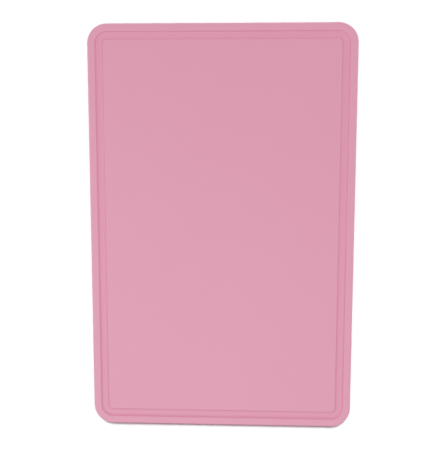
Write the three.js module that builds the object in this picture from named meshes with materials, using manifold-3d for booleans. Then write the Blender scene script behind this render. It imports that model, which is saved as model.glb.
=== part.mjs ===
// A plastic cutting board: one slab with a juice groove, standing on four push-in soft feet.
// Millimetres. The board lies flat: +Z points out of the cutting face and +Y along the board.
// The origin is on the worktop, under the middle of the board.

import * as THREE from "three";
import { mergeVertices } from "three/addons/utils/BufferGeometryUtils.js";
import Module from "manifold-3d";

const wasm = await Module();
wasm.setup();

// Driving dimensions of the slab
const BOARD_WIDTH = 300;
const BOARD_LENGTH = 460;
const SLAB_THICKNESS = 10;
const CORNER_RADIUS = 22;
const EDGE_RADIUS = 2;

// Driving dimensions of the juice groove, which follows the outline all the way round
const RIM_WIDTH = 7.9;
const GROOVE_WIDTH = 10.5;
const GROOVE_DEPTH = 2.4;
const GROOVE_WALL_RUN = 2.85;
const GROOVE_LIP = 0.5;
const FACE_CORNER_RADIUS = 3.6;

// Driving dimensions of a foot: a pad that meets the worktop, and a ribbed stem pressed into the slab
const FOOT_INSET = 30;
const STAND_HEIGHT = 2;
const PAD_DIAMETER = 16;
const PAD_EDGE_RADIUS = 0.8;
const PAD_DIMPLE_DIAMETER = 7;
const PAD_DIMPLE_DEPTH = 0.7;
const STEM_DIAMETER = 6;
const STEM_LENGTH = 4.5;
const STEM_TIP_CHAMFER = 0.8;
const STEM_RIB_COUNT = 3;
const STEM_RIB_HEIGHT = 0.6;

// Driving dimensions of the stepped socket in the slab's underside that holds a foot
const SEAT_DEPTH = 1;
const SEAT_CLEARANCE = 0.3;
const RIB_CLEARANCE = 0.1;
const STEM_END_GAP = 0.5;

// How finely round shapes are faceted
const CORNER_CURVE_STEPS = 6;
const EDGE_STEPS = 4;
const GROOVE_WALL_STEPS = 4;
const FOOT_SIDES = 28;
const PAD_EDGE_STEPS = 3;

// How far a cutting shape runs past the face that it opens
const CUT_OVERSHOOT = 1;

const slabPlastic = new THREE.MeshStandardMaterial({
  color: 0xdd9eb4,
  roughness: 0.5,
  metalness: 0,
});
const footRubber = new THREE.MeshStandardMaterial({
  color: 0xc98ba1,
  roughness: 0.85,
  metalness: 0,
});

// A closed geometry as a solid that can be joined and cut.
function solidOf(geometry) {
  const bare = geometry.clone();
  bare.deleteAttribute("normal");
  bare.deleteAttribute("uv");
  const merged = mergeVertices(bare);
  return new wasm.Manifold(
    new wasm.Mesh({
      numProp: 3,
      vertProperties: merged.attributes.position.array,
      triVerts: new Uint32Array(merged.index.array),
    }),
  );
}

// A solid as a geometry that a mesh can hold.
function geometryOf(solid) {
  const { vertProperties, triVerts } = solid.getMesh();
  const geometry = new THREE.BufferGeometry();
  geometry.setAttribute("position", new THREE.BufferAttribute(vertProperties, 3));
  geometry.setIndex(new THREE.BufferAttribute(triVerts, 1));
  geometry.computeVertexNormals();
  return geometry;
}

// A rounded rectangle that follows the board's outline, moved in from the real edge.
function outline(inset, cornerRadius) {
  const x = BOARD_WIDTH / 2 - inset;
  const y = BOARD_LENGTH / 2 - inset;
  const r = cornerRadius;
  const quarter = Math.PI / 2;
  return new THREE.Shape()
    .absarc(x - r, y - r, r, 0, quarter)
    .absarc(r - x, y - r, r, quarter, 2 * quarter)
    .absarc(r - x, r - y, r, 2 * quarter, 3 * quarter)
    .absarc(x - r, r - y, r, 3 * quarter, 4 * quarter)
    .closePath();
}

// The groove seen from above, between its two walls just under the lips.
function grooveBand() {
  const outerInset = RIM_WIDTH + GROOVE_LIP;
  const innerInset = RIM_WIDTH + GROOVE_WIDTH - GROOVE_LIP;
  const shape = outline(outerInset, CORNER_RADIUS - outerInset);
  shape.holes.push(outline(innerInset, FACE_CORNER_RADIUS + GROOVE_LIP));
  return shape;
}

// The plain slab with rounded edges, its underside at z = 0.
function slabBlank() {
  return new THREE.ExtrudeGeometry(outline(EDGE_RADIUS, CORNER_RADIUS - EDGE_RADIUS), {
    depth: SLAB_THICKNESS - 2 * EDGE_RADIUS,
    bevelThickness: EDGE_RADIUS,
    bevelSize: EDGE_RADIUS,
    bevelSegments: EDGE_STEPS,
    curveSegments: CORNER_CURVE_STEPS,
  }).translate(0, 0, EDGE_RADIUS);
}

// The channel to cut: a flat bed with walls that sweep up to just under the cutting face.
function grooveChannel() {
  return new THREE.ExtrudeGeometry(grooveBand(), {
    depth: GROOVE_LIP + CUT_OVERSHOOT,
    bevelThickness: GROOVE_DEPTH - GROOVE_LIP,
    bevelSize: GROOVE_WALL_RUN,
    bevelOffset: -GROOVE_WALL_RUN,
    bevelSegments: GROOVE_WALL_STEPS,
    curveSegments: CORNER_CURVE_STEPS,
  }).translate(0, 0, SLAB_THICKNESS - GROOVE_LIP);
}

// The broken edges along both sides of the channel's mouth.
function grooveLips() {
  return new THREE.ExtrudeGeometry(grooveBand(), {
    depth: CUT_OVERSHOOT,
    bevelThickness: GROOVE_LIP,
    bevelSize: GROOVE_LIP,
    bevelSegments: 1,
    curveSegments: CORNER_CURVE_STEPS,
  }).translate(0, 0, SLAB_THICKNESS);
}

// An upright cylinder that reaches from below the slab's underside up to a height in it.
function drilled(radius, height) {
  const length = height + CUT_OVERSHOOT;
  return new THREE.CylinderGeometry(radius, radius, length, FOOT_SIDES)
    .rotateX(Math.PI / 2)
    .translate(0, 0, height - length / 2);
}

// The stepped hole for one foot: a shallow seat for its pad and a deeper bore for its stem.
function footSocket(x, y) {
  const seat = drilled(PAD_DIAMETER / 2 + SEAT_CLEARANCE, SEAT_DEPTH);
  const boreRadius = STEM_DIAMETER / 2 + STEM_RIB_HEIGHT + RIB_CLEARANCE;
  const bore = drilled(boreRadius, SEAT_DEPTH + STEM_LENGTH + STEM_END_GAP);
  return solidOf(seat).add(solidOf(bore)).translate([x, y, 0]);
}

// The finished slab, with its groove and the four sockets.
function slabGeometry(footPlaces) {
  let slab = solidOf(slabBlank())
    .subtract(solidOf(grooveChannel()))
    .subtract(solidOf(grooveLips()));
  for (const { x, y } of footPlaces) {
    slab = slab.subtract(footSocket(x, y));
  }
  return geometryOf(slab);
}

// Half of a foot's section, from the axis in the dimple, round the pad and up the stem to its tip.
function footProfile() {
  const padRadius = PAD_DIAMETER / 2;
  const padTop = STAND_HEIGHT + SEAT_DEPTH;
  const stemRadius = STEM_DIAMETER / 2;
  const stemTop = padTop + STEM_LENGTH;
  const ribPitch = (STEM_LENGTH - STEM_TIP_CHAMFER) / STEM_RIB_COUNT;
  const ribLength = ribPitch / 2;
  const half = new THREE.Path()
    .moveTo(0, PAD_DIMPLE_DEPTH)
    .lineTo(PAD_DIMPLE_DIAMETER / 2 - PAD_DIMPLE_DEPTH, PAD_DIMPLE_DEPTH)
    .lineTo(PAD_DIMPLE_DIAMETER / 2, 0)
    .absarc(padRadius - PAD_EDGE_RADIUS, PAD_EDGE_RADIUS, PAD_EDGE_RADIUS, -Math.PI / 2, 0)
    .lineTo(padRadius, padTop)
    .lineTo(stemRadius, padTop);
  for (let rib = 0; rib < STEM_RIB_COUNT; rib += 1) {
    const ribEnd = padTop + (rib + 1) * ribPitch;
    half
      .lineTo(stemRadius, ribEnd - ribLength)
      .lineTo(stemRadius + STEM_RIB_HEIGHT, ribEnd - ribLength)
      .lineTo(stemRadius, ribEnd);
  }
  half.lineTo(stemRadius - STEM_TIP_CHAMFER, stemTop).lineTo(0, stemTop);
  return half.getPoints(PAD_EDGE_STEPS);
}

// One foot standing on z = 0, with its stem up.
function footGeometry() {
  return new THREE.LatheGeometry(footProfile(), FOOT_SIDES).rotateX(Math.PI / 2);
}

function named(name, geometry, material) {
  const mesh = new THREE.Mesh(geometry, material);
  mesh.name = name;
  return mesh;
}

// The four places of the feet, named for someone standing at the -Y side of the board.
const footX = BOARD_WIDTH / 2 - FOOT_INSET;
const footY = BOARD_LENGTH / 2 - FOOT_INSET;
const footPlaces = [
  { name: "foot_front_left", x: -footX, y: -footY },
  { name: "foot_front_right", x: footX, y: -footY },
  { name: "foot_back_left", x: -footX, y: footY },
  { name: "foot_back_right", x: footX, y: footY },
];

const board = new THREE.Group();
board.name = "cutting_board";

const slab = named("board_slab", slabGeometry(footPlaces), slabPlastic);
slab.position.z = STAND_HEIGHT;
board.add(slab);

for (const { name, x, y } of footPlaces) {
  const foot = named(name, footGeometry(), footRubber);
  foot.position.set(x, y, 0);
  board.add(foot);
}

export default board;
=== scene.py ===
"""Dress a plastic cutting board: a pink grooved slab that stands on four soft push-in feet.

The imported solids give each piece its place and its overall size. This script models the surfaces that
show, with their rounded edges and finishes, and lays the board on a white floor under soft light.
All lengths are in metres. +Z points out of the cutting face and +Y along the board.
"""

import logging
import math
from collections.abc import Callable, Iterable
from dataclasses import dataclass
from enum import Enum
from typing import Any

import bmesh
import bpy
from bmesh.types import BMEdge, BMFace, BMVert
from mathutils import Matrix, Vector


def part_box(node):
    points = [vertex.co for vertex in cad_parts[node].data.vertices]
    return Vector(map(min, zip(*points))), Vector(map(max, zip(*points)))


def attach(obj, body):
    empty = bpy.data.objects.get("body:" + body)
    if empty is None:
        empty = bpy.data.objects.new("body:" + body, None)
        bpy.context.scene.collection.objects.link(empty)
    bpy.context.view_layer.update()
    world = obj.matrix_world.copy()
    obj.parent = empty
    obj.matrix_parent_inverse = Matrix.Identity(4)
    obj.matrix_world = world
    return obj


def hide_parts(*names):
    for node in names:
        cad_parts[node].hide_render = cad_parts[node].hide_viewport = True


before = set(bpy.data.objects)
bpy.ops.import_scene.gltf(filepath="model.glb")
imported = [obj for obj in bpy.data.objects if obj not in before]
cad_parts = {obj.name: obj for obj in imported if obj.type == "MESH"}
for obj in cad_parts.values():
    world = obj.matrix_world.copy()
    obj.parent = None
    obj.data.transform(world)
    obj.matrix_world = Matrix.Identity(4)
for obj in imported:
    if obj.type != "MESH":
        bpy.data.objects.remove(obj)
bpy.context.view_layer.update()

Triple = tuple[float, float, float]

MM = 0.001
BODY = "root"
SLAB_NODE = "board_slab"
UP = Vector((0.0, 0.0, 1.0))
ACROSS = Vector((1.0, 0.0, 0.0))
LENGTHWISE = Vector((0.0, 1.0, 0.0))
WHITE: Triple = (1.0, 1.0, 1.0)
# Points closer than this, or alike to so many decimals, are at one place.
SAME_PLACE = 0.01 * MM
PLACE_DECIMALS = 6
# Directions whose product is over this are parallel.
FLAT = 0.9999
# Edges that turn more than this are creases.
CREASE_ANGLE = math.radians(30)
# The bevel profile of a circular arc.
ROUND_PROFILE = 0.5
# Noise runs from 0 to 1 about this value.
NOISE_MEAN = 0.5

log = logging.getLogger("cutting_board")


class FootPlace(Enum):
    """The four places of the feet, by the name of the solid that stands there."""

    FRONT_LEFT = "foot_front_left"
    FRONT_RIGHT = "foot_front_right"
    BACK_LEFT = "foot_back_left"
    BACK_RIGHT = "foot_back_right"


class Value:
    """A number that varies over a surface: a shader socket that takes part in arithmetic."""

    def __init__(self, graph: "Graph", socket: bpy.types.NodeSocket) -> None:
        """Wrap one output socket of a graph."""
        self.graph = graph
        self.socket = socket

    def __add__(self, other: "Value | float") -> "Value":
        """Return self + other."""
        return self.graph.maths("ADD", self, other)

    def __radd__(self, other: float) -> "Value":
        """Return other + self."""
        return self.graph.maths("ADD", other, self)

    def __sub__(self, other: "Value | float") -> "Value":
        """Return self - other."""
        return self.graph.maths("SUBTRACT", self, other)

    def __rsub__(self, other: float) -> "Value":
        """Return other - self."""
        return self.graph.maths("SUBTRACT", other, self)

    def __mul__(self, other: "Value | float") -> "Value":
        """Return self * other."""
        return self.graph.maths("MULTIPLY", self, other)

    def __rmul__(self, other: float) -> "Value":
        """Return other * self."""
        return self.graph.maths("MULTIPLY", other, self)

    def __abs__(self) -> "Value":
        """Return the size of this value without its sign."""
        return self.graph.maths("ABSOLUTE", self)

    def at_least(self, other: "Value | float") -> "Value":
        """Return the larger of the two."""
        return self.graph.maths("MAXIMUM", self, other)

    def at_most(self, other: "Value | float") -> "Value":
        """Return the smaller of the two."""
        return self.graph.maths("MINIMUM", self, other)

    def root(self) -> "Value":
        """Return the square root."""
        return self.graph.maths("SQRT", self)

    def rise(self, start: float, end: float) -> "Value":
        """Make a smooth step.

        Args:
            start: Where the step leaves 0.
            end: Where the step reaches 1.

        Returns:
            The step, held at 0 and 1 outside that range.
        """
        settings = {"interpolation_type": "SMOOTHSTEP"}
        sockets = {"Value": self, "From Min": start, "From Max": end}
        return Value(self.graph, self.graph.node("ShaderNodeMapRange", settings, sockets).outputs[0])


class Graph:
    """The node tree of one material or of the world, and the only place where its nodes are made."""

    def __init__(self, owner: bpy.types.Material | bpy.types.World) -> None:
        """Start with an empty tree.

        Args:
            owner: The material or world that the tree belongs to.
        """
        owner.use_nodes = True
        self.owner = owner
        self.tree = owner.node_tree
        self.tree.nodes.clear()

    def node(
        self,
        kind: str,
        settings: dict[str, Any] | None = None,
        sockets: dict[str | int, Any] | None = None,
    ) -> bpy.types.Node:
        """Add a node.

        Args:
            kind: Blender's name of the node type.
            settings: The node's own properties, which are set first.
            sockets: A value or a link for each input, by its number, identifier or name.

        Returns:
            The new node.
        """
        node = self.tree.nodes.new(kind)
        for name, value in (settings or {}).items():
            setattr(node, name, value)
        for key, value in (sockets or {}).items():
            self._feed(self._socket(node, key), value)
        return node

    @staticmethod
    def _socket(node: bpy.types.Node, key: str | int) -> bpy.types.NodeSocket:
        """Find an input of a node.

        Args:
            node: The node.
            key: The input's number, identifier or name.

        Returns:
            The input.
        """
        if isinstance(key, int):
            return node.inputs[key]
        return next(socket for socket in node.inputs if key in (socket.identifier, socket.name))

    def _feed(self, socket: bpy.types.NodeSocket, value: Any) -> None:
        """Link an input to a value, socket or node's first output, or set it to a constant.

        Args:
            socket: The input.
            value: What feeds it.
        """
        if isinstance(value, Value):
            value = value.socket
        if isinstance(value, bpy.types.Node):
            value = value.outputs[0]
        if isinstance(value, bpy.types.NodeSocket):
            self.tree.links.new(value, socket)
        elif socket.type == "RGBA":
            socket.default_value = (*value, 1.0)
        else:
            socket.default_value = value

    def maths(self, operation: str, *operands: Value | float) -> Value:
        """Return the result of a Math node on the operands."""
        node = self.node("ShaderNodeMath", {"operation": operation}, dict(enumerate(operands)))
        return Value(self, node.outputs[0])

    def place(self) -> bpy.types.NodeSocket:
        """Return the point on the surface, in the board's own frame."""
        return self.node("ShaderNodeTexCoord").outputs["Object"]

    def direction(self) -> bpy.types.NodeSocket:
        """Return the direction in which a ray leaves for the world."""
        return self.node("ShaderNodeTexCoord").outputs["Generated"]

    def parts(self, vector: bpy.types.NodeSocket) -> tuple[Value, ...]:
        """Return a vector's three parts as values."""
        split = self.node("ShaderNodeSeparateXYZ", sockets={"Vector": vector})
        return tuple(Value(self, output) for output in split.outputs)

    def stretched(self, vector: bpy.types.NodeSocket, shares: Triple) -> bpy.types.NodeSocket:
        """Return a vector with each part multiplied by its share."""
        settings = {"operation": "MULTIPLY"}
        return self.node("ShaderNodeVectorMath", settings, {0: vector, 1: shares}).outputs[0]

    def noise(self, vector: bpy.types.NodeSocket, size: float) -> Value:
        """Return smooth noise from 0 to 1 at a point, with bumps of that size."""
        sockets = {"Vector": vector, "Scale": 1.0 / size}
        return Value(self, self.node("ShaderNodeTexNoise", sockets=sockets).outputs[0])

    def blend(self, share: Value, first: Any, second: Any) -> bpy.types.NodeSocket:
        """Mix two colours.

        Args:
            share: How much of the second colour there is, from 0 to 1.
            first: A colour, or a socket that gives one.
            second: The other colour or socket.

        Returns:
            The mixed colour.
        """
        sockets = {"Factor_Float": share, "A_Color": first, "B_Color": second}
        mixed = self.node("ShaderNodeMix", {"data_type": "RGBA"}, sockets)
        return next(socket for socket in mixed.outputs if socket.identifier == "Result_Color")

    def relief(self, height: Value, depth: float) -> bpy.types.NodeSocket:
        """Return the normal of a surface with a relief, on which a height of 1 is that deep."""
        return self.node("ShaderNodeBump", sockets={"Height": height, "Distance": depth}).outputs[0]

    def seen(self) -> Value:
        """Tell the rays that show a thing, straight or in a reflection, from those that carry its light.

        Returns:
            1 for a ray that shows a thing, and else 0.
        """
        rays = self.node("ShaderNodeLightPath").outputs
        kinds = ("Is Camera Ray", "Is Glossy Ray", "Is Transmission Ray")
        camera, glossy, transmission = (Value(self, rays[kind]) for kind in kinds)
        return camera.at_least(glossy).at_least(transmission)

    def finish(self, surface: bpy.types.Node) -> bpy.types.Material | bpy.types.World:
        """Close the tree with its output.

        Args:
            surface: The shader that the output shows.

        Returns:
            The finished material or world.
        """
        place = "World" if isinstance(self.owner, bpy.types.World) else "Material"
        self.node(f"ShaderNodeOutput{place}", sockets={"Surface": surface})
        return self.owner


class Workpiece:
    """A mesh on the bench, shaped with operators and then set down as a piece of the scene."""

    def __init__(self) -> None:
        """Start with nothing on the bench."""
        self.mesh = bmesh.new()

    def block(self, low: Vector, high: Vector) -> None:
        """Add a rectangular block between two corners."""
        place = Matrix.Translation((low + high) / 2) @ Matrix.Diagonal((*(high - low), 1.0))
        bmesh.ops.create_cube(self.mesh, size=1.0, matrix=place)

    def turn(self, profile: list[tuple[float, float]], centre: Vector, steps: int) -> None:
        """Add a turned solid.

        Args:
            profile: Half of its section as radius and height, from the axis round to the axis again.
            centre: The foot of its upright axis.
            steps: How many sides it has.
        """
        verts = [self.mesh.verts.new(centre + radius * ACROSS + height * UP) for radius, height in profile]
        edges = [self.mesh.edges.new(pair) for pair in zip(verts, verts[1:])]
        bmesh.ops.spin(
            self.mesh, geom=verts + edges, cent=centre, axis=UP, angle=math.tau, steps=steps, use_merge=True
        )
        bmesh.ops.remove_doubles(self.mesh, verts=self.mesh.verts, dist=SAME_PLACE)
        bmesh.ops.recalc_face_normals(self.mesh, faces=self.mesh.faces)

    def edges(self, test: Callable[[BMEdge], bool]) -> list[BMEdge]:
        """Return the edges that pass a test."""
        return [edge for edge in self.mesh.edges if test(edge)]

    def flats(self, height: float) -> list[BMFace]:
        """Return the level faces at that height."""
        return [face for face in self.mesh.faces if abs(face.normal.z) > FLAT and level(face.verts, height)]

    def creases(self, height: float | None = None) -> list[BMEdge]:
        """Return the sharp edges, all of them or those that lie at one height."""
        sharp = self.edges(lambda edge: edge.calc_face_angle(0.0) > CREASE_ANGLE)
        return [edge for edge in sharp if height is None or level(edge.verts, height)]

    def inset(self, faces: list[BMFace], width: float, sink: float = 0.0) -> list[BMFace]:
        """Draw a region in from its border.

        Args:
            faces: The region.
            width: How wide a band is left round it.
            sink: How far the region goes down.

        Returns:
            The new band of faces.
        """
        return bmesh.ops.inset_region(
            self.mesh, faces=faces, thickness=width, depth=-sink, use_even_offset=True, use_boundary=True
        )["faces"]

    def push(self, faces: list[BMFace], move: Vector) -> None:
        """Push a region in or out of the solid, with walls that follow it.

        Args:
            faces: The region.
            move: How far it goes, and which way.
        """
        made = bmesh.ops.extrude_face_region(self.mesh, geom=faces)["geom"]
        bmesh.ops.delete(self.mesh, geom=faces, context="FACES")
        bmesh.ops.translate(self.mesh, verts=[part for part in made if isinstance(part, BMVert)], vec=move)

    def score(self, faces: list[BMFace], point: Vector, across: Vector) -> None:
        """Cut flat faces along the line that runs through a point, square to a direction."""
        parts = {part for face in faces for part in (face, *face.edges, *face.verts)}
        bmesh.ops.bisect_plane(self.mesh, geom=list(parts), plane_co=point, plane_no=across)

    def round_off(self, edges: list[BMEdge], radius: float, segments: int) -> None:
        """Round edges.

        Args:
            edges: The edges.
            radius: The radius of the arc across each.
            segments: How many faces make up that arc.
        """
        bmesh.ops.bevel(
            self.mesh,
            geom=edges,
            offset=radius,
            affect="EDGES",
            segments=segments,
            profile=ROUND_PROFILE,
            clamp_overlap=False,
        )

    def set_down(self, name: str) -> bpy.types.Object:
        """Make the finished mesh a piece of the scene.

        Args:
            name: The piece's name.

        Returns:
            The piece, at the origin, with its place in its mesh.
        """
        for face in self.mesh.faces:
            face.smooth = True
        for edge in self.creases():
            edge.smooth = False
        data = bpy.data.meshes.new(name)
        self.mesh.to_mesh(data)
        self.mesh.free()
        piece = bpy.data.objects.new(name, data)
        bpy.context.scene.collection.objects.link(piece)
        return piece


def level(verts: Iterable[BMVert], height: float) -> bool:
    """Say whether all the points are at that height."""
    return all(abs(vert.co.z - height) < SAME_PLACE for vert in verts)


def over(verts: Iterable[BMVert], centre: Vector, half: float) -> bool:
    """Say whether all the points lie over a square with that centre and half that side."""
    reach = half + SAME_PLACE
    return all(max(abs(part) for part in (vert.co - centre).to_2d()) < reach for vert in verts)


def upright(edge: BMEdge) -> bool:
    """Say whether an edge stands upright."""
    run = edge.verts[0].co - edge.verts[1].co
    return abs(run.z) > FLAT * run.length


@dataclass(frozen=True)
class BoardPlastic:
    """Pink polyethylene: a satin skin with a fine grain, softer in the groove, and planed edges."""

    colour: Triple = (0.700, 0.295, 0.415)
    pale_colour: Triple = (0.712, 0.305, 0.425)
    # A lighter pink for the groove: painted light that offsets the shade in the recess.
    groove_painted_light_colour: Triple = (0.726, 0.305, 0.428)
    roughness: float = 0.46
    roughness_spread: float = 0.1
    refraction: float = 1.54
    mottle_size: float = 45 * MM
    grain_size: float = 0.7 * MM
    peel_size: float = 3.5 * MM
    planing_size: float = 0.5 * MM
    planing_stretch: Triple = (0.03, 0.03, 1.0)
    relief_depth: float = 0.02 * MM
    groove_smoothing: float = 0.45
    blur: float = 0.6 * MM

    def material(self, slab: "Slab") -> bpy.types.Material:
        """Make the material.

        Args:
            slab: The slab whose groove and edges it follows.

        Returns:
            The finished material.
        """
        graph = Graph(bpy.data.materials.new("board_plastic"))
        place = graph.place()
        inset, groove = self._zones(graph, place, slab)
        edge = 1.0 - inset.rise(0.0, slab.edge_radius)
        mottle = graph.noise(place, self.mottle_size)
        peel = graph.noise(place, self.peel_size)
        grain = graph.noise(place, self.grain_size) * (1.0 - self.groove_smoothing * groove)
        planing = graph.noise(graph.stretched(place, self.planing_stretch), self.planing_size) * edge
        skin_colour = graph.blend(mottle, self.colour, self.pale_colour)
        surface = graph.node(
            "ShaderNodeBsdfPrincipled",
            sockets={
                # The groove takes the lighter pink, painted light that offsets its shade.
                "Base Color": graph.blend(groove, skin_colour, self.groove_painted_light_colour),
                "Roughness": self.roughness + self.roughness_spread * (peel - NOISE_MEAN),
                "IOR": self.refraction,
                "Normal": graph.relief(grain + peel + planing, self.relief_depth),
            },
        )
        return graph.finish(surface)

    def _zones(self, graph: Graph, place: bpy.types.NodeSocket, slab: "Slab") -> tuple[Value, Value]:
        """Map the slab's surface.

        Args:
            graph: The material's nodes.
            place: The point on the surface.
            slab: The slab.

        Returns:
            How far the point lies inside the outline, and a mask of the groove.
        """
        x, y, z = graph.parts(place)
        half = (slab.high - slab.low) / 2
        across = abs(x) - (half.x - slab.corner_radius)
        along = abs(y) - (half.y - slab.corner_radius)
        round_x = across.at_least(0.0)
        round_y = along.at_least(0.0)
        beyond = (round_x * round_x + round_y * round_y).root() + across.at_least(along).at_most(0.0)
        inset = slab.corner_radius - beyond
        start = slab.rim_width
        end = slab.rim_width + slab.groove_width
        band = inset.rise(start, start + self.blur) * (1.0 - inset.rise(end - self.blur, end))
        bed = slab.high.z - slab.groove_depth
        return inset, band * z.rise(bed - self.blur, bed)


@dataclass(frozen=True)
class FootRubber:
    """Soft rose elastomer with a dull, sparked skin."""

    colour: Triple = (0.56, 0.24, 0.335)
    dusty_colour: Triple = (0.60, 0.275, 0.37)
    roughness: float = 0.78
    roughness_spread: float = 0.12
    refraction: float = 1.48
    spark_size: float = 0.35 * MM
    bloom_size: float = 4 * MM
    relief_depth: float = 0.03 * MM

    def material(self) -> bpy.types.Material:
        """Make the material.

        Returns:
            The finished material.
        """
        graph = Graph(bpy.data.materials.new("foot_rubber"))
        place = graph.place()
        bloom = graph.noise(place, self.bloom_size)
        spark = graph.noise(place, self.spark_size)
        surface = graph.node(
            "ShaderNodeBsdfPrincipled",
            sockets={
                "Base Color": graph.blend(bloom, self.colour, self.dusty_colour),
                "Roughness": self.roughness + self.roughness_spread * (spark - NOISE_MEAN),
                "IOR": self.refraction,
                "Normal": graph.relief(spark, self.relief_depth),
            },
        )
        return graph.finish(surface)


@dataclass
class Foot:
    """One push-in foot: a pad with a dimple that meets the worktop, and a ribbed stem."""

    place: FootPlace
    low: Vector
    high: Vector
    pad_height: float = 3 * MM
    pad_edge_radius: float = 0.8 * MM
    dimple_radius: float = 3.5 * MM
    dimple_depth: float = 0.7 * MM
    stem_radius: float = 3 * MM
    tip_chamfer: float = 0.8 * MM
    rib_count: int = 3
    rib_height: float = 0.6 * MM
    soft_radius: float = 0.2 * MM
    sides: int = 72
    pad_edge_segments: int = 6
    soft_segments: int = 3

    @property
    def centre(self) -> Vector:
        """Return the point on the worktop under the middle of the foot."""
        middle = (self.low + self.high) / 2
        return Vector((middle.x, middle.y, self.low.z))

    @property
    def pad_radius(self) -> float:
        """Return the radius of the pad."""
        return (self.high.x - self.low.x) / 2

    def build(self) -> bpy.types.Object:
        """Model the foot.

        Returns:
            The piece, still without its finish.
        """
        work = Workpiece()
        work.turn(self._section(), self.centre, self.sides)
        base = work.creases(self.low.z)
        pad_edge = [edge for edge in base if self._reach(edge) > self.dimple_radius + SAME_PLACE]
        work.round_off(pad_edge, self.pad_edge_radius, self.pad_edge_segments)
        work.round_off(work.creases(), self.soft_radius, self.soft_segments)
        return work.set_down(f"dressed_{self.place.value}")

    def dress(self, piece: bpy.types.Object, material: bpy.types.Material) -> None:
        """Give the foot its finish, which all the feet share."""
        piece.data.materials.append(material)

    def _reach(self, edge: BMEdge) -> float:
        """Return how far an edge lies from the foot's axis."""
        return (edge.verts[0].co - self.centre).to_2d().length

    def _section(self) -> list[tuple[float, float]]:
        """Draw half of the foot's section.

        Returns:
            Its points as radius and height, from the dimple round the pad and up the stem to its tip.
        """
        top = self.high.z - self.low.z
        pitch = (top - self.pad_height - self.tip_chamfer) / self.rib_count
        section = [
            (0.0, self.dimple_depth),
            (self.dimple_radius - self.dimple_depth, self.dimple_depth),
            (self.dimple_radius, 0.0),
            (self.pad_radius, 0.0),
            (self.pad_radius, self.pad_height),
            (self.stem_radius, self.pad_height),
        ]
        for rib in range(self.rib_count):
            end = self.pad_height + (rib + 1) * pitch
            section += [
                (self.stem_radius, end - pitch / 2),
                (self.stem_radius + self.rib_height, end - pitch / 2),
                (self.stem_radius, end),
            ]
        return section + [(self.stem_radius - self.tip_chamfer, top), (0.0, top)]


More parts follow.
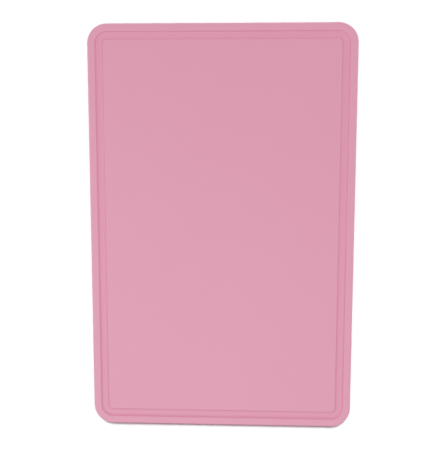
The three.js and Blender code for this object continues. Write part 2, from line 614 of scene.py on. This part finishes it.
@dataclass
class Slab:
    """The board itself: one slab with a juice groove, and sockets for the feet in its underside."""

    low: Vector
    high: Vector
    feet: list[Foot]
    corner_radius: float = 22 * MM
    edge_radius: float = 2 * MM
    rim_width: float = 7.9 * MM
    groove_width: float = 10.5 * MM
    groove_depth: float = 2.4 * MM
    groove_lip_radius: float = 0.9 * MM
    groove_bed_width: float = 3.8 * MM
    seat_depth: float = 1 * MM
    seat_clearance: float = 0.3 * MM
    bore_radius: float = 3.7 * MM
    bore_depth: float = 5 * MM
    # A narrow band inside the rounded edges, which keeps the shading of the flats level.
    flat_margin: float = 0.25 * MM
    # What is left of each side of the square that is rounded into a seat.
    square_remainder: float = 0.05 * MM
    corner_segments: int = 28
    edge_segments: int = 8
    lip_segments: int = 4
    bed_segments: int = 8
    socket_segments: int = 12

    def build(self) -> bpy.types.Object:
        """Model the slab.

        Returns:
            The piece, still without its finish.
        """
        work = Workpiece()
        self._cut_blank(work)
        self._sink_groove(work)
        outline = work.creases(self.high.z) + work.creases(self.low.z)
        work.round_off(outline, self.edge_radius, self.edge_segments)
        for height in (self.high.z, self.low.z):
            work.inset(work.flats(height), self.flat_margin)
        self._sink_sockets(work)
        return work.set_down("dressed_slab")

    def dress(self, piece: bpy.types.Object, finish: BoardPlastic) -> None:
        """Give the slab its finish, laid out for its groove and edges."""
        piece.data.materials.append(finish.material(self))

    def _cut_blank(self, work: Workpiece) -> None:
        """Cut the sheet to its outline, with round corners."""
        work.block(self.low, self.high)
        work.round_off(work.edges(upright), self.corner_radius, self.corner_segments)

    def _sink_groove(self, work: Workpiece) -> None:
        """Sink the juice groove between the rim and the cutting face, step by step down to its bed.

        Args:
            work: The blank.
        """
        top = work.flats(self.high.z)
        work.inset(top, self.rim_width)
        channel = work.inset(top, self.groove_width)
        for run, drop in self._groove_section():
            work.inset(channel, run, drop)

    def _groove_section(self) -> list[tuple[float, float]]:
        """Draw half of the groove's section, from its mouth to its bed.

        Returns:
            Each step's run inwards and its drop.
        """
        run = (self.groove_width - self.groove_bed_width) / 2
        slope = 2 * math.atan(self.groove_depth / run)
        bed_radius = run / math.sin(slope) - self.groove_lip_radius
        lip = self._arc(self.groove_lip_radius, 0.0, slope, self.lip_segments)
        return lip + self._arc(bed_radius, slope, 0.0, self.bed_segments)

    @staticmethod
    def _arc(radius: float, start: float, end: float, segments: int) -> list[tuple[float, float]]:
        """Divide an arc.

        Args:
            radius: Its radius.
            start: Its slope where it starts.
            end: Its slope where it ends.
            segments: How many steps it is cut into.

        Returns:
            Each step's run and drop.
        """
        slopes = [start + (end - start) * step / segments for step in range(segments + 1)]
        return [
            (radius * abs(math.sin(b) - math.sin(a)), radius * abs(math.cos(b) - math.cos(a)))
            for a, b in zip(slopes, slopes[1:])
        ]

    def _sink_sockets(self, work: Workpiece) -> None:
        """Sink a round seat for each pad and a bore for its stem into the underside.

        Args:
            work: The slab.
        """
        half = self.feet[0].pad_radius + self.seat_clearance
        for axis in (ACROSS, LENGTHWISE):
            for middle in sorted({round(foot.centre.dot(axis), PLACE_DECIMALS) for foot in self.feet}):
                for side in (-half, half):
                    work.score(work.flats(self.low.z), (middle + side) * axis, axis)
        for foot in self.feet:
            self._sink_socket(work, foot.centre, half)

    def _sink_socket(self, work: Workpiece, centre: Vector, half: float) -> None:
        """Sink one socket.

        Args:
            work: The slab, with a square scored on its underside over the foot.
            centre: The foot's centre.
            half: Half the side of the square, which becomes the radius of the seat.
        """
        square = [face for face in work.flats(self.low.z) if over(face.verts, centre, half)]
        work.push(square, self.seat_depth * UP)
        walls = work.edges(lambda edge: upright(edge) and over(edge.verts, centre, half))
        work.round_off(walls, half - self.square_remainder, self.socket_segments)
        seats = work.flats(self.low.z + self.seat_depth)
        seat = [face for face in seats if over(face.verts, centre, half)]
        work.inset(seat, half - self.bore_radius)
        work.push(seat, self.bore_depth * UP)


@dataclass(frozen=True)
class Card:
    """A glowing card that shows in the plastic's sheen and lights nothing by itself."""

    name: str
    place: Triple
    size: float
    power: float

    def build(self) -> None:
        """Hang the card."""
        data = bpy.data.lights.new(self.name, "AREA")
        data.energy = self.power
        data.size = self.size
        card = aimed(data, self.place)
        card.visible_diffuse = False


@dataclass(frozen=True)
class FloorLamp:
    """A distant lamp for the floor alone, on which the board casts its shadow.

    Its tint and the floor's cancel out to white, and the shadow keeps the floor's rose, painted pink bounce
    light from the plastic.
    """

    name: str = "floor_lamp"
    place: Triple = (0.0, 0.63, 1.0)
    spread: float = math.radians(12)
    strength: float = 10.4
    colour: Triple = (0.55, 1.0, 0.85)

    def build(self, floor: bpy.types.Object) -> None:
        """Hang the lamp, and let it light nothing but the floor.

        Args:
            floor: The floor.
        """
        data = bpy.data.lights.new(self.name, "SUN")
        data.energy = self.strength
        data.color = self.colour
        data.angle = self.spread
        lit = bpy.data.collections.new("lit_by_floor_lamp")
        lit.objects.link(floor)
        lamp = aimed(data, self.place)
        lamp.visible_glossy = False
        lamp.light_linking.receiver_collection = lit


def aimed(data: bpy.types.Light, place: Triple) -> bpy.types.Object:
    """Put a lamp in the scene, out of the camera's sight and facing the middle of the board.

    Args:
        data: The lamp.
        place: Where it hangs.

    Returns:
        The lamp's object.
    """
    lamp = bpy.data.objects.new(data.name, data)
    lamp.location = place
    lamp.rotation_euler = (-Vector(place)).to_track_quat("-Z", "Y").to_euler()
    lamp.visible_camera = False
    bpy.context.scene.collection.objects.link(lamp)
    return lamp


@dataclass(frozen=True)
class Studio:
    """The white floor, the soft light and the camera."""

    # The focal length and the longer side of the picture are in pixels, the sensor in millimetres.
    focal_px: float = 668.8
    frame_px: float = 450.0
    sensor_width: float = 36.0
    eye: Triple = (0.0319, 0.0933, 0.7655)
    gaze: Triple = (-0.0398, -0.1145, -0.9926)
    roll: float = math.radians(0.1)
    cards: tuple[Card, ...] = (
        Card("overhead_card", place=(-0.28, -0.70, 1.30), size=1.6, power=9.0),
        Card("left_card", place=(-0.50, 0.0, 0.12), size=0.5, power=1.2),
        Card("right_card", place=(0.50, 0.0, 0.12), size=0.5, power=0.5),
        Card("back_card", place=(0.0, 0.60, 0.12), size=0.5, power=0.35),
    )
    floor_lamp: FloorLamp = FloorLamp()
    ambient: float = 0.95
    # How much more light comes from +X and from +Y than from overhead.
    ambient_lean: tuple[float, float] = (-0.05, 0.06)
    # What shows beyond the floor, where 1 is plain white.
    backdrop: float = 1.0
    floor_reach: float = 3.0
    # A rose floor: its tint paints the plastic's pink bounce light into the shadow, and the lamp's tint
    # whitens the lit floor.
    floor_painted_bounce_colour: Triple = (0.42, 0.28, 0.315)

    def build(self) -> None:
        """Set up the camera, the world, the cards and the floor with its lamp."""
        self._camera()
        self._world()
        for card in self.cards:
            card.build()
        self.floor_lamp.build(self._floor())
        bpy.context.scene.view_settings.view_transform = "Standard"

    def _camera(self) -> None:
        """Look at the cutting face from the photograph's place."""
        data = bpy.data.cameras.new("camera")
        data.sensor_width = self.sensor_width
        data.lens = self.focal_px / self.frame_px * self.sensor_width
        camera = bpy.data.objects.new("camera", data)
        forward = Vector(self.gaze).normalized()
        right = forward.cross(LENGTHWISE).normalized()
        axes = Matrix((right, right.cross(forward), -forward)).transposed()
        turn = axes @ Matrix.Rotation(self.roll, 3, "Z")
        camera.matrix_world = Matrix.Translation(self.eye) @ turn.to_4x4()
        bpy.context.scene.collection.objects.link(camera)
        bpy.context.scene.camera = camera

    def _world(self) -> None:
        """Light everything softly from all round, and show as plain white."""
        graph = Graph(bpy.data.worlds.new("surroundings"))
        x, y, _ = graph.parts(graph.direction())
        lean_x, lean_y = self.ambient_lean
        strength = self.ambient + lean_x * x + lean_y * y
        soft = graph.node("ShaderNodeBackground", sockets={"Color": WHITE, "Strength": strength})
        plain = graph.node("ShaderNodeBackground", sockets={"Color": WHITE, "Strength": self.backdrop})
        mixed = graph.node("ShaderNodeMixShader", sockets={0: graph.seen(), 1: soft, 2: plain})
        bpy.context.scene.world = graph.finish(mixed)

    def _floor(self) -> bpy.types.Object:
        """Lay a floor that keeps the board's shadow, tinted rose so that the shadow shows painted pink
        bounce light.

        Returns:
            The floor.
        """
        graph = Graph(bpy.data.materials.new("floor"))
        # The rose tint paints pink bounce light into the board's shadow.
        plain = graph.node("ShaderNodeBsdfDiffuse", sockets={"Color": self.floor_painted_bounce_colour})
        work = Workpiece()
        bmesh.ops.create_grid(work.mesh, x_segments=1, y_segments=1, size=self.floor_reach)
        floor = work.set_down("floor")
        floor.data.materials.append(graph.finish(plain))
        return floor


def hand_over(piece: bpy.types.Object, node: str) -> None:
    """Fix a piece to the board in place of a solid, and report it.

    Args:
        piece: The piece.
        node: The solid that it stands for.
    """
    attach(piece, BODY)
    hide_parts(node)
    log.info("%s stands for %s: %d faces", piece.name, node, len(piece.data.polygons))


def main() -> None:
    """Build the board, its feet and the studio."""
    feet = [Foot(place, *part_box(place.value)) for place in FootPlace]
    slab = Slab(*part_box(SLAB_NODE), feet)
    slab_piece = slab.build()
    slab.dress(slab_piece, BoardPlastic())
    hand_over(slab_piece, SLAB_NODE)
    rubber = FootRubber().material()
    for foot in feet:
        foot_piece = foot.build()
        foot.dress(foot_piece, rubber)
        hand_over(foot_piece, foot.place.value)
    Studio().build()


if __name__ == "__main__":
    logging.basicConfig(level=logging.INFO)
    main()
